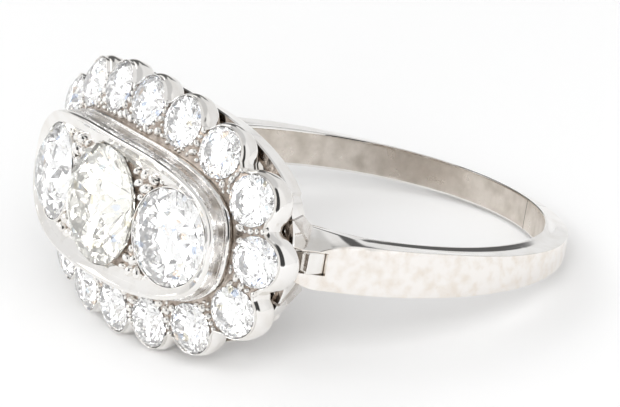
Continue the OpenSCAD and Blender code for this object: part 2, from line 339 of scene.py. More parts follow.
def new_material(name):
    material = bpy.data.materials.new(name)
    material.use_nodes = True
    nodes, links = material.node_tree.nodes, material.node_tree.links
    return material, nodes, links, nodes["Principled BSDF"]


def ramp(nodes, stops):
    """Grey ramp through stops of position and level."""
    node = nodes.new("ShaderNodeValToRGB")
    elements = node.color_ramp.elements
    while len(elements) < len(stops):
        elements.new(0.5)
    for element, (position, grey) in zip(elements, stops):
        element.position = position
        element.color = (grey, grey, grey, 1)
    return node


def wear_group():
    """Wear of a polished metal surface: soft dents, crossing scratches and cloudy stains."""
    group = bpy.data.node_groups.new("metal_wear", "ShaderNodeTree")
    face = group.interface
    for name, value in (("Scale", 1.0), ("Low", 0.06), ("High", 0.2)):
        face.new_socket(name, in_out="INPUT", socket_type="NodeSocketFloat").default_value = value
    for name in ("Roughness", "Height", "Stain"):
        face.new_socket(name, in_out="OUTPUT", socket_type="NodeSocketFloat")
    nodes, links = group.nodes, group.links
    inside, outside = nodes.new("NodeGroupInput"), nodes.new("NodeGroupOutput")
    place = nodes.new("ShaderNodeTexCoord")
    size = nodes.new("ShaderNodeVectorMath")
    size.operation = "SCALE"
    links.new(place.outputs["Object"], size.inputs[0])
    links.new(inside.outputs["Scale"], size.inputs["Scale"])

    cloud = nodes.new("ShaderNodeTexNoise")
    cloud.inputs["Scale"].default_value = 900
    cloud.inputs["Detail"].default_value = 5
    links.new(size.outputs[0], cloud.inputs["Vector"])
    stain = ramp(nodes, ((0.42, 0.0), (0.68, 1.0)))
    links.new(cloud.outputs["Fac"], stain.inputs["Fac"])

    scratch_sum = None
    for turn, stretch in (((0.3, 0.5, 0.2), 60), ((1.2, 0.1, 0.9), 45)):
        aim = nodes.new("ShaderNodeMapping")
        aim.inputs["Rotation"].default_value = turn
        aim.inputs["Scale"].default_value = (stretch * 100, 700, 700)
        links.new(size.outputs[0], aim.inputs["Vector"])
        line = nodes.new("ShaderNodeTexNoise")
        line.inputs["Scale"].default_value = 1
        line.inputs["Detail"].default_value = 2
        links.new(aim.outputs[0], line.inputs["Vector"])
        thin = ramp(nodes, ((0.30, 1.0), (0.36, 0.0)))
        links.new(line.outputs["Fac"], thin.inputs["Fac"])
        if scratch_sum is None:
            scratch_sum = thin.outputs["Color"]
        else:
            both = nodes.new("ShaderNodeMath")
            both.operation = "ADD"
            links.new(scratch_sum, both.inputs[0])
            links.new(thin.outputs["Color"], both.inputs[1])
            scratch_sum = both.outputs[0]

    dent = nodes.new("ShaderNodeTexNoise")
    dent.inputs["Scale"].default_value = 650
    dent.inputs["Detail"].default_value = 2
    links.new(size.outputs[0], dent.inputs["Vector"])
    height = nodes.new("ShaderNodeMath")
    height.operation = "MULTIPLY_ADD"
    height.inputs[1].default_value = -0.12
    links.new(scratch_sum, height.inputs[0])
    links.new(dent.outputs["Fac"], height.inputs[2])

    rough = nodes.new("ShaderNodeMapRange")
    links.new(cloud.outputs["Fac"], rough.inputs["Value"])
    rough.inputs["From Min"].default_value = 0.35
    rough.inputs["From Max"].default_value = 0.7
    links.new(inside.outputs["Low"], rough.inputs["To Min"])
    links.new(inside.outputs["High"], rough.inputs["To Max"])
    links.new(rough.outputs["Result"], outside.inputs["Roughness"])
    links.new(height.outputs[0], outside.inputs["Height"])
    links.new(stain.outputs["Color"], outside.inputs["Stain"])
    return group


WEAR = wear_group()


def metal(name, clean, stained, low, high, bump, scale=1.0):
    """White metal whose colour, gloss and surface follow its wear."""
    material, nodes, links, shader = new_material(name)
    wear = nodes.new("ShaderNodeGroup")
    wear.node_tree = WEAR
    wear.inputs["Scale"].default_value = scale
    wear.inputs["Low"].default_value = low
    wear.inputs["High"].default_value = high
    tint = nodes.new("ShaderNodeMix")
    tint.data_type = "RGBA"
    tint.inputs["A"].default_value = (*clean, 1)
    tint.inputs["B"].default_value = (*stained, 1)
    links.new(wear.outputs["Stain"], tint.inputs["Factor"])
    links.new(tint.outputs["Result"], shader.inputs["Base Color"])
    links.new(wear.outputs["Roughness"], shader.inputs["Roughness"])
    relief = nodes.new("ShaderNodeBump")
    relief.inputs["Strength"].default_value = 1
    relief.inputs["Distance"].default_value = bump
    links.new(wear.outputs["Height"], relief.inputs["Height"])
    links.new(relief.outputs["Normal"], shader.inputs["Normal"])
    shader.inputs["Metallic"].default_value = 1
    return material


# Tints of the painted fire: coloured patches fixed on the stones, painted glints in place of dispersion
PAINTED_FIRE_TINTS = ((0.0, (0.35, 0.55, 1.0)), (0.4, (0.55, 0.8, 1.0)), (0.6, (1.0, 0.62, 0.3)), (0.8, (1.0, 0.88, 0.5)))


def painted_fire_group():
    """Colour of a cut stone: its body colour, with a few small patches of pale spectral colour painted on as fire,
    painted glints in place of the dispersion of light.
    """
    group = bpy.data.node_groups.new("diamond_painted_fire", "ShaderNodeTree")
    face = group.interface
    face.new_socket("Body", in_out="INPUT", socket_type="NodeSocketColor").default_value = (1, 1, 1, 1)
    face.new_socket("Amount", in_out="INPUT", socket_type="NodeSocketFloat").default_value = 0.5
    face.new_socket("Color", in_out="OUTPUT", socket_type="NodeSocketColor")
    nodes, links = group.nodes, group.links
    inside, outside = nodes.new("NodeGroupInput"), nodes.new("NodeGroupOutput")
    place = nodes.new("ShaderNodeTexCoord")
    cells = nodes.new("ShaderNodeTexVoronoi")
    cells.inputs["Scale"].default_value = 3600
    links.new(place.outputs["Object"], cells.inputs["Vector"])
    parts = nodes.new("ShaderNodeSeparateColor")
    links.new(cells.outputs["Color"], parts.inputs["Color"])
    hue = nodes.new("ShaderNodeValToRGB")
    hue.color_ramp.interpolation = "CONSTANT"
    elements = hue.color_ramp.elements
    while len(elements) < len(PAINTED_FIRE_TINTS):
        elements.new(0.5)
    for element, (position, tint) in zip(elements, PAINTED_FIRE_TINTS):
        element.position = position
        element.color = (*tint, 1)
    links.new(parts.outputs["Green"], hue.inputs["Fac"])
    few = ramp(nodes, ((0.94, 0.0), (0.96, 1.0)))
    links.new(parts.outputs["Red"], few.inputs["Fac"])
    share = nodes.new("ShaderNodeMath")
    share.operation = "MULTIPLY"
    links.new(few.outputs["Color"], share.inputs[0])
    links.new(inside.outputs["Amount"], share.inputs[1])
    blend = nodes.new("ShaderNodeMix")
    blend.data_type = "RGBA"
    links.new(share.outputs[0], blend.inputs["Factor"])
    links.new(inside.outputs["Body"], blend.inputs["A"])
    links.new(hue.outputs["Color"], blend.inputs["B"])
    links.new(blend.outputs["Result"], outside.inputs["Color"])
    return group


PAINTED_FIRE = painted_fire_group()


def diamond(name, body, painted_fire):
    """Clear stone with a body colour and an amount of painted fire, tinted patches that stand in for coloured glints.
    """
    material, nodes, links, shader = new_material(name)
    colour = nodes.new("ShaderNodeGroup")
    colour.node_tree = PAINTED_FIRE
    colour.inputs["Body"].default_value = (*body, 1)
    colour.inputs["Amount"].default_value = painted_fire
    links.new(colour.outputs["Color"], shader.inputs["Base Color"])
    shader.inputs["Roughness"].default_value = 0
    shader.inputs["IOR"].default_value = 2.417
    shader.inputs["Transmission Weight"].default_value = 0.86
    return material


# Clean colour, stained colour, lowest and highest roughness, relief in metres, fineness of the wear
POLISHED = metal("polished_platinum", (0.89, 0.875, 0.855), (0.82, 0.795, 0.76), 0.03, 0.11, 0.000006)
# Greyer, rougher metal on the bezel's tapered wall and on the rail's wings
GREY_SIDE_METAL = metal("grey_bezel_side", (0.74, 0.715, 0.69), (0.56, 0.525, 0.49), 0.2, 0.36, 0.00002, 2.0)
SHANK_FACE = metal("worn_shank", (0.895, 0.865, 0.835), (0.815, 0.755, 0.69), 0.06, 0.2, 0.000005, 2.4)
SATIN_INSIDE = metal("satin_band_inside", (0.76, 0.70, 0.635), (0.61, 0.555, 0.49), 0.26, 0.42, 0.00002, 1.4)
# Dark brown setting metal is painted shade: it darkens the plates' floors between stones and grains, and the
# gallery's ledge and posts, where shade falls
SHADED_SETTING = metal("setting_painted_shade", (0.52, 0.46, 0.41), (0.27, 0.22, 0.18), 0.12, 0.3, 0.00004, 2.5)
FOIL = metal("stone_back", (0.98, 0.98, 0.98), (0.94, 0.94, 0.94), 0.0, 0.01, 0.0)
# The last number is the share of painted fire, tinted patches that stand in for coloured glints
WHITE_STONE = diamond("white_diamond", (1.0, 1.0, 1.0), 0.6)
WARM_STONE = diamond("warm_white_diamond", (1.0, 0.985, 0.92), 0.6)


# Scalloped plate with its seats and grains

SEAT_GAP = 0.01
HALO_HOLE_R, HALO_HOLE_DEPTH = 0.27 * HALO_D, 2.0
SKIRT_END = DOME_R * math.sin(math.asin(HALO_HALF[0] / DOME_R) + math.atan(SCALLOP_R / DOME_R))
SKIRT_POWER = 4
END_LIFT, LIFT_FROM, LIFT_RUN = 0.2, 0.25, 0.5
BEAD_EDGE = (8.1, 4.6)
BEAD_FOOT_GAP = 0.14


def seat(d, hole_r, depth):
    """Tool for a stone's seat: a hole, a bearing for the pavilion and room for the crown."""
    r = d / 2 + SEAT_GAP
    bearing = (r - hole_r) * math.tan(PAVILION)
    g = GIRDLE_H * d
    crown = TABLE_H * d
    table = TABLE_R * d + SEAT_GAP
    return lathe([(0, -depth), (hole_r, -depth), (hole_r, -g - bearing), (r, -g), (r, g + SEAT_GAP),
                  (table, crown + SEAT_GAP), (table, 2 * crown), (0, 2 * crown)])


def grain(radius, height, steps=14):
    """Raised bead of metal: a dome on a short stem, a little longer one way than the other."""
    profile = [(0, -0.25), (radius * 1.12, -0.25), (radius * 1.06, 0.0)]
    for k in range(1, 6):
        a = math.pi / 2 * k / 6
        profile.append((radius * math.cos(a), height * math.sin(a)))
    profile.append((0, height))
    points, faces = lathe(profile, steps)
    long, turn = random.uniform(1.0, 1.3), random.uniform(0, math.pi)
    return points * np.array([long, 1 / long, random.uniform(0.85, 1.15)]) @ turn_z(turn).T, faces


def stand_on_dome(shape, spot):
    """Sets a shape made around the Z axis on the dome, upright at a point given from the dome's centre."""
    radius = np.linalg.norm(spot)
    turn = math.atan2(spot[1], spot[0])
    lean = math.acos(spot[2] / radius)
    points = (shape[0] + np.array([0, 0, radius])) @ (turn_z(turn) @ turn_y(lean)).T
    return points + DOME_CENTRE, shape[1]


def halo_beads(floor):
    """Beads beside every small stone, then smaller ones wherever the plate is still bare."""
    stones = [halo_place(i, [0, 0, DOME_R]) - DOME_CENTRE for i in range(HALO_COUNT)]
    taken = []
    for i in range(HALO_COUNT):
        for away, radius in ((0.28, 0.15), (-0.02, 0.13), (-0.33, 0.17)):
            spot = [away + random.uniform(-0.03, 0.03), random.uniform(-0.02, 0.02), DOME_R]
            taken.append((halo_place(i + 0.5, spot) - DOME_CENTRE, radius * random.uniform(0.92, 1.08)))
    foot = bezel_half(BEZEL_T + BEAD_FOOT_GAP, 1.0)
    for radius, tries in ((0.2, 2500), (0.16, 3000), (0.12, 5000), (0.09, 5000)):
        for _ in range(tries):
            xy = np.array([random.uniform(-9.0, 9.0), random.uniform(-5.5, 5.5)])
            to_edge = np.abs(xy) / BEAD_EDGE
            to_foot = np.abs(xy) / (np.array(foot) + radius)
            if (to_edge ** HALO_POWER).sum() > 1 or (to_foot ** BEZEL_POWER).sum() < 1:
                continue
            spot = on_dome(xy, DOME_R) - DOME_CENTRE
            if min(np.linalg.norm(spot - stone) for stone in stones) < HALO_D / 2 + 0.3 * radius:
                continue
            if min(np.linalg.norm(spot - other) - room for other, room in taken) < 0.98 * radius:
                continue
            taken.append((spot, radius * random.uniform(0.88, 1.05)))
    return [stand_on_dome(grain(r, r * 1.1), spot * floor / DOME_R) for spot, r in taken]


def skirted(inset, rise):
    """Line of the scallops below their rim. It follows the dome's rays along the head's sides.

    Towards the head's two ends it goes straight down, and its lower part is shorter.
    """
    xy = scallops(inset)
    share = (np.abs(xy[:, :1]) / SKIRT_END) ** SKIRT_POWER
    rise = rise * (1 - END_LIFT * share * np.clip((-rise - LIFT_FROM) / LIFT_RUN, 0, 1))
    x = xy[:, :1] * (1 - share * rise / (DOME_R + rise))
    return on_dome(np.concatenate([x, xy[:, 1:]], 1), DOME_R + rise)


def scalloped_plate():
    """Plate under the small stones. Its edge is given as insets from the scallops and heights above the girdles."""
    floor = DOME_R - 0.01
    wall = [(0.3, -1.0), (0.13, -1.0), (0.07, -0.94), (0.025, -0.84), (0.005, -0.73), (0.0, -0.6), (0.0, -0.4),
            (0.012, -0.3), (0.033, -0.23), (0.06, -0.175), (0.1, -0.11)]
    rim = [(0.137, -0.085), (0.174, -0.06), (0.178, 0.02), (0.182, 0.08), (0.19, 0.115), (0.201, 0.122),
           (0.213, 0.115), (0.226, 0.085), (0.24, 0.03), (0.28, -0.03)]
    rows = [skirted(inset, rise) for inset, rise in wall]
    rows += [on_dome(scallops(inset), DOME_R + rise) for inset, rise in rim]
    edge_rows = len(rows)
    bezel_line = OvalLine(bezel_half(BEZEL_T + 0.01, 1.0), BEZEL_POWER)
    inner = bezel_line.ring(HALO_COUNT * ARC_STEPS, -0.5 / HALO_COUNT)
    edge = scallops(rim[-1][0])
    for share in (0.2, 0.4, 0.6, 0.8, 1.0):
        rows.append(on_dome(edge * (1 - share) + inner * share, floor))
    rows.append(on_dome(inner, PLATE_BOTTOM))
    shape = band(rows)
    n = len(edge)
    first, last = edge_rows - 2, len(rows) - 1
    # The rim's inner slope, the floor out to the bezel and the underside take slot 1, the dark setting metal, as
    # painted shade between the stones and grains
    slots = [1 if first <= k // n <= last else 0 for k in range(len(shape[1]))]
    piece = raw_object("scalloped_plate", shape, slots)
    tools = []
    for i in range(HALO_COUNT):
        points, faces = seat(HALO_D, HALO_HOLE_R, HALO_HOLE_DEPTH)
        tools.append(raw_object("seat", (halo_place(i, points + np.array([0, 0, DOME_R])), faces), (0,)))
    cut(piece, tools)
    add_shells(piece, merged(halo_beads(floor)), 0)
    finish_piece(piece, [POLISHED, SHADED_SETTING], ["cluster_plate"])


# Raised bezel: a double wire at its foot, a slightly tapered wall and a rounded rim

def bezel():
    """Wall around the large stones, from rows of spread, share of the foot's flare, and radius."""
    profile = [(0.42, 1, 17.5), (0.42, 1, 18.5), (0.46, 1, 18.52), (0.505, 1, 18.57), (0.52, 1, 18.64),
               (0.505, 1, 18.71), (0.46, 1, 18.755), (0.43, 1, 18.77), (0.455, 1, 18.79), (0.47, 1, 18.83),
               (0.45, 1, 18.875), (0.42, 0.97, 18.89), (0.42, 0.85, 19.0), (0.405, 0.82, 19.02), (0.405, 0.55, 19.27),
               (0.42, 0.5, 19.29), (0.42, 0.35, 19.42), (0.41, 0.3, 19.45), (0.41, 0.1, 19.6),
               (0.405, 0.03, 19.7), (0.39, 0, 19.765), (0.36, 0, 19.815), (0.315, 0, 19.842), (0.27, 0, BEZEL_TOP),
               (0.235, 0, 19.84), (0.205, 0, 19.815), (0.0, 0, 19.657), (-0.04, 0, 19.64), (-0.005, 0, 19.5),
               (0.0, 0, 17.5)]
    rows = [on_dome(OvalLine(bezel_half(spread, flare), BEZEL_POWER).ring(OVAL_STEPS), radius)
            for spread, flare, radius in profile]
    shape = band(rows)
    slots = [1 if 10 <= k // OVAL_STEPS < 18 else 0 for k in range(len(shape[1]))]
    finish_piece(raw_object("oblong_bezel", shape, slots), [POLISHED, GREY_SIDE_METAL], ["bezel_wall"])


def collar(x, d):
    """Thin lip of metal around a large stone."""
    turns = np.linspace(0, 2 * math.pi, 97)[:-1]
    rows = []
    for out, rise in ((0.005, -0.06), (0.005, 0.05), (0.02, 0.085), (0.05, 0.085), (0.075, 0.04), (0.08, -0.06)):
        r = d / 2 + out
        ring = np.stack([r * np.cos(turns), r * np.sin(turns), np.full(len(turns), rise)], 1)
        rows.append(trio_place(x, ring))
    return band(rows[::-1])


# Grains between the centre stone and a side stone: X, Y and radius
GAP_GRAINS = ((2.6, 1.12, 0.17), (2.3, 1.6, 0.22), (2.84, 1.56, 0.27), (2.06, 2.04, 0.17), (2.56, 2.1, 0.24),
              (3.16, 2.02, 0.24), (3.66, 2.06, 0.13))
CENTRE_HOLE_R, SIDE_HOLE_R, TRIO_HOLE_DEPTH = 1.5, 1.0, 3.0


def trio_setting():
    """Plate inside the bezel, with a bright polished slope along the wall, three seats and grains; the rest of its
    top is coloured as painted shade.
    """
    floor = TRIO_R - 0.02
    bottom = TRIO_R - 0.8
    ring = OvalLine(bezel_half(-0.01), BEZEL_POWER).ring(OVAL_STEPS)
    foot = OvalLine(bezel_half(-0.42), BEZEL_POWER).ring(OVAL_STEPS)
    rows = [on_dome(ring, bottom), on_dome(ring, 19.648), on_dome(foot, floor + 0.02)]
    rows += [on_dome(foot * share, floor) for share in (0.98, 0.85, 0.7, 0.55, 0.4, 0.25, 0.1)]
    rows += [on_dome(ring * share, bottom) for share in (0.1, 0.5)]
    shape = band(rows)
    # Every row but the slope along the wall takes slot 1, the dark setting metal, as painted shade on the floor
    # between the seats and grains
    slots = [0 if 1 <= k // OVAL_STEPS < 2 else 1 for k in range(len(shape[1]))]
    piece = raw_object("trio_setting", shape, slots)
    tools = []
    for x, d, hole_r in ((0, CENTRE_D, CENTRE_HOLE_R), (SIDE_X, SIDE_D, SIDE_HOLE_R), (-SIDE_X, SIDE_D, SIDE_HOLE_R)):
        points, faces = seat(d, hole_r, TRIO_HOLE_DEPTH)
        tools.append(raw_object("seat", (trio_place(x, points), faces), (0,)))
    cut(piece, tools)
    raised = [collar(SIDE_X, SIDE_D), collar(-SIDE_X, SIDE_D)]
    for side_x in (-1, 1):
        for side_y in (-1, 1):
            for x, y, radius in GAP_GRAINS:
                size = radius * random.uniform(0.92, 1.08)
                place = (x + random.uniform(-0.03, 0.03), y + random.uniform(-0.03, 0.03))
                xy = np.array([side_x * place[0], side_y * place[1]]) * DOME_R / TRIO_R
                spot = (on_dome(xy, DOME_R) - DOME_CENTRE) * floor / DOME_R
                raised.append(stand_on_dome(grain(size, size * 1.2), spot))
    add_shells(piece, merged(raised), 0)
    finish_piece(piece, [POLISHED, SHADED_SETTING], ["trio_plate"])


# Gallery: a rail with posts and windows, cut to the finger

RAIL_STEP = 0.1
RAIL_STEP_AT = 1.06
WINDOW_HALF_W = 0.845
WINDOW_TOP = 18.0
HALF_ROUND = HALO_COUNT // 2


def rail_ring(inset, stepped=False, count=OVAL_STEPS):
    """Line of the rail. A stepped line stands further out everywhere but at the two ends of the head."""
    line = OvalLine((RAIL_HALF[0] - inset, RAIL_HALF[1] - inset), HALO_POWER).ring(count)
    if not stepped:
        return line
    proud = OvalLine((RAIL_HALF[0] - inset + RAIL_STEP, RAIL_HALF[1] - inset + RAIL_STEP), HALO_POWER).ring(count)
    place = np.arange(count) * HALO_COUNT / count % HALF_ROUND
    from_end = np.minimum(place, HALF_ROUND - place)
    return np.where((from_end > RAIL_STEP_AT)[:, None], proud, line)


def finger_tool():
    """Tool for the finger's hole, a cylinder along Y."""
    points, faces = lathe([(0, -9), (FINGER_R, -9), (FINGER_R, 9), (0, 9)], 360)
    return raw_object("finger_tool", (points @ np.array([[1, 0, 0], [0, 0, 1], [0, -1, 0]]), faces), (1,))


def prism(outline, low, high):
    """Solid between two values of X, with an outline of Y and Z that runs anticlockwise seen from +X."""
    n = len(outline)
    points = [(x, y, z) for x in (low, high) for y, z in outline]
    faces = [tuple(range(n - 1, -1, -1)), tuple(range(n, 2 * n))]
    faces += [(i, (i + 1) % n, n + (i + 1) % n, n + i) for i in range(n)]
    return np.array(points, float), faces


def wing(side, end):
    """Flat cheek of the rail beside the block, with a bevelled edge along the slot.

    Its corners are given as place along the line of stones, radius, and how far they stand proud.
    """
    outline = np.array([(0.69, 17.38, 0.02), (0.75, 16.5, 0.02), (0.55, 15.75, 0.03), (0.31, 16.15, 0.05)])
    middle = np.mean(outline, axis=0)
    rows = []
    for shrink, out, tilt in ((0.0, -0.3, 0), (0.0, 0.0, 1), (0.1, 0.05, 1)):
        ring = []
        for place, radius, proud in outline * (1 - shrink) + middle * shrink:
            reach = out + tilt * proud
            line = OvalLine((RAIL_HALF[0] + reach, RAIL_HALF[1] + reach), HALO_POWER)
            ring.append(on_dome(line.at(place / HALO_COUNT), radius) * np.array([end, side, 1]))
        rows.append(np.array(ring))
    if side * end < 0:
        rows = [row[::-1] for row in rows]
    return swept(rows)


def gallery():
    """Rail under the plate, from rows of inset, radius and whether the row is stepped."""
    top = PLATE_BOTTOM - 0.01
    rail = [(0.06, RAIL_BOTTOM, True), (0.0, 16.27, True), (0.0, 16.6, True), (0.0, RAIL_TOP - 0.06, True),
            (0.06, RAIL_TOP, True), (0.3, RAIL_TOP, False), (0.3, top, False), (0.75, top, False),
            (0.75, 16.7, False), (0.75, 16.27, False), (0.69, RAIL_BOTTOM, False)]
    rows = [on_dome(rail_ring(inset, stepped), radius) for inset, radius, stepped in rail]
    shape = band(rows)
    # The ledge and the post walls set back under the scallops take slot 3, the dark setting metal, as painted shade
    slots = [3 if 4 <= k // OVAL_STEPS < 6 else 0 for k in range(len(shape[1]))]
    piece = raw_object("pierced_gallery", shape, slots)
    tools = [finger_tool()]
    window = [(-WINDOW_HALF_W, RAIL_TOP), (WINDOW_HALF_W, RAIL_TOP), (WINDOW_HALF_W, WINDOW_TOP),
              (-WINDOW_HALF_W, WINDOW_TOP)]
    end_window = [(-0.4, 16.35), (0.4, 16.35), (0.6, 17.3), (0.6, WINDOW_TOP), (-0.6, WINDOW_TOP), (-0.6, 17.3)]
    for i in range(HALO_COUNT):
        points, faces = prism(end_window if i % HALF_ROUND == 0 else window, 0.0, 3.0)
        tools.append(raw_object("window", (halo_place(i, points), faces), (1,)))
    cut(piece, tools, 4)
    add_shells(piece, merged([wing(side, end) for side in (-1, 1) for end in (-1, 1)]), 2)
    finish_piece(piece, [POLISHED, SATIN_INSIDE, GREY_SIDE_METAL, SHADED_SETTING], ["gallery"])


# Shank: two tapered arms with forked ends

# Angles run from the middle of the palm. Widths are on the finger side and, as FACE, on the outer face.
HOOP_END = math.radians(118)
HEEL_END = math.radians(139.5)
HOOP_STEPS, FORK_STEPS = 90, 24
PALM_W, PALM_FACE_W, PALM_T = 1.55, 0.75, 1.0
SHOULDER_W, SHOULDER_FACE_W, SHOULDER_T = 2.0, 2.3, 1.55
FORK_W, FORK_FACE_W = 2.4, 1.08
FORK_TOP = np.array([7.95, 7.3])
# The face is trimmed along its upper edge before the fork, and narrows from there to a share of the fork's length
TRIM, TRIM_RUN, TRIM_POWER = 0.42, math.radians(28), 1.5
NARROW_END, NARROW_POWER = 0.7, 2.3
LOW_NARROW, LOW_NARROW_POWER = 0.5, 1.5
FACE_CROWN = 0.05
# Corner radii of half a section, from the inside to the outer face
CORNER_R = (0.05, 0.24, 0.12, 0.04, 0.2)
# Points of half a section that belong to the inside, and to the inside and the flank
INSIDE_POINTS, SIDE_POINTS = 6, 18
# The flanks are hollow at a share of the thickness; the hollow runs out along the fork, which swells a little
FLANK_SHARE = 0.4
HOLLOW, HOLLOW_RUN = 0.12, 0.8
FORK_SWELL = 0.08
SEAM, SEAM_GAP = math.radians(10), 0.002
SLOT_LOW, SLOT_HIGH = (6.5, -0.485, 6.2), (9.5, 0.485, 8.45)
BLOCK_LOW, BLOCK_HIGH = (7.2, -0.475, 6.22), (8.27, 0.475, 7.06)
BLOCK_BEVEL = 0.09
OUTER_SHIFT = (SHOULDER_T - PALM_T) / (1 - math.cos(HOOP_END))
OUTER_R = FINGER_R + PALM_T + OUTER_SHIFT


def radial(r, a):
    """X and Z of a point of the hoop."""
    return np.array([r * math.sin(a), -r * math.cos(a)])


def hoop_r(a):
    """Radius of the outer face, which thickens from the palm to the shoulders."""
    return math.sqrt(OUTER_R ** 2 - (OUTER_SHIFT * math.sin(a)) ** 2) - OUTER_SHIFT * math.cos(a)


def grown(a, palm, shoulder):
    return palm + (shoulder - palm) * (1 - math.cos(a)) / (1 - math.cos(HOOP_END))


def rounded(corners, radii, steps=4):
    """Open line through corners, each rounded by its radius."""
    line = [np.array(corners[0])]
    for before, here, after, radius in zip(corners, corners[1:], corners[2:], radii):
        before, here, after = np.array(before), np.array(here), np.array(after)
        back, on = before - here, after - here
        start = here + back / np.linalg.norm(back) * min(radius, 0.49 * np.linalg.norm(back))
        end = here + on / np.linalg.norm(on) * min(radius, 0.49 * np.linalg.norm(on))
        for k in range(steps + 1):
            t = k / steps
            line.append((1 - t) ** 2 * start + 2 * t * (1 - t) * here + t ** 2 * end)
    line.append(np.array(corners[-1]))
    return np.array(line)


def half_section(thick, half_in, half_flank, half_out, crown):
    """Half of the outline across the hoop, from the middle of the inside to the middle of the outer face."""
    return rounded([(0.0, 0.0), (half_in * 0.6, 0.0), (half_in, 0.0), (half_flank, FLANK_SHARE * thick),
                    (half_out, thick), (half_out * 0.5, thick + 0.75 * crown), (0.0, thick + crown)], CORNER_R)


def section(inside, outside, width_in, width_flank, width_up, width_low):
    """Closed outline across the hoop: width along Y, thickness from inside to outside.

    width_up and width_low are twice the outer face's reach to its upper and its lower edge.
    """
    out = outside - inside
    thick = np.linalg.norm(out)
    out = out / thick
    crown = FACE_CROWN * (width_up / SHOULDER_FACE_W) ** 2
    upper = half_section(thick, width_in / 2, width_flank / 2, width_up / 2, crown)
    lower = half_section(thick, width_in / 2, width_flank / 2, width_low / 2, crown)
    line = [(w, t) for w, t in upper] + [(-w, t) for w, t in lower[-2:0:-1]]
    return np.array([(inside[0] + t * out[0], w, inside[1] + t * out[1]) for w, t in line])


def hoop_rows(start):
    """Sections from the seam to the shoulder."""
    rows = []
    for k in range(HOOP_STEPS + 1):
        a = start + (HOOP_END - start) * k / HOOP_STEPS
        width_in, width_out = grown(a, PALM_W, SHOULDER_W), grown(a, PALM_FACE_W, SHOULDER_FACE_W)
        flank = width_in + (width_out - width_in) * FLANK_SHARE - 2 * HOLLOW
        trim = TRIM * max(0.0, 1 - (HOOP_END - a) / TRIM_RUN) ** TRIM_POWER
        rows.append(section(radial(FINGER_R, a), radial(hoop_r(a), a), width_in, flank, width_out - trim, width_out))
    return rows


def fork_rows():
    """Sections from the shoulder to the head, where the upper edge draws in beside the block."""
    rows = []
    for k in range(1, FORK_STEPS + 1):
        share = k / FORK_STEPS
        inside = radial(FINGER_R, HOOP_END + (HEEL_END - HOOP_END) * share)
        outside = radial(hoop_r(HOOP_END), HOOP_END) * (1 - share) + FORK_TOP * share
        width_in = SHOULDER_W + (FORK_W - SHOULDER_W) * share
        hollow = HOLLOW * max(0.0, 1 - share / HOLLOW_RUN)
        swell = FORK_SWELL * (1 - hollow / HOLLOW)
        flank = width_in + (SHOULDER_FACE_W - SHOULDER_W) * FLANK_SHARE - 2 * hollow + swell
        narrow = min(1.0, share / NARROW_END) ** NARROW_POWER
        width_up = SHOULDER_FACE_W - TRIM + (FORK_FACE_W - SHOULDER_FACE_W + TRIM) * narrow
        late = max(0.0, (share - NARROW_END) / (1 - NARROW_END)) ** LOW_NARROW_POWER
        rows.append(section(inside, outside, width_in, flank, width_up, SHOULDER_FACE_W - LOW_NARROW * late))
    return rows


def gallery_core():
    """Tool that ends the arms at the rail."""
    outer = rail_ring(0.0)
    core = outer * 0.05
    shape = band([on_dome(outer, RAIL_BOTTOM), on_dome(outer, DOME_R),
                  on_dome(core, DOME_R), on_dome(core, RAIL_BOTTOM)])
    return raw_object("gallery_core", shape, (0,))


def mirrored(piece):
    piece.data.transform(Matrix.Diagonal((-1, 1, 1, 1)))
    piece.data.flip_normals()


def shank_arm(name, start, mirror, node):
    rows = hoop_rows(start) + fork_rows()
    points, faces = swept(rows)
    n = len(rows[0])
    looks = np.zeros(n, int)
    looks[:SIDE_POINTS] = looks[n - SIDE_POINTS:] = 2
    looks[:INSIDE_POINTS] = looks[n - INSIDE_POINTS:] = 1
    slots = [0, 0] + [looks[k % n] for k in range(len(faces) - 2)]
    piece = raw_object(name, (points, faces), slots)
    cut(piece, [gallery_core(), raw_object("slot", box(SLOT_LOW, SLOT_HIGH), (0,))], 3)
    if mirror:
        mirrored(piece)
    finish_piece(piece, [SHANK_FACE, SATIN_INSIDE, POLISHED], [node])


def square_block(name, mirror, node):
    """Block on the end of the gallery, with softened edges."""
    piece = raw_object(name, box(BLOCK_LOW, BLOCK_HIGH))
    bm = bmesh.new()
    bm.from_mesh(piece.data)
    bmesh.ops.bevel(bm, geom=bm.edges[:], offset=BLOCK_BEVEL, segments=4, profile=0.6, affect="EDGES")
    bm.to_mesh(piece.data)
    bm.free()
    if mirror:
        mirrored(piece)
    finish_piece(piece, [POLISHED], [node], 50)


scalloped_plate()
bezel()
trio_setting()
gallery()
shank_arm("shank_arm_right", SEAM + SEAM_GAP, False, "shank_right")
shank_arm("shank_arm_left", -SEAM + SEAM_GAP, True, "shank_left")
square_block("square_block_right", False, "end_block_right")
square_block("square_block_left", True, "end_block_left")


# Stones: round brilliants with 33 facets above the girdle and 24 below

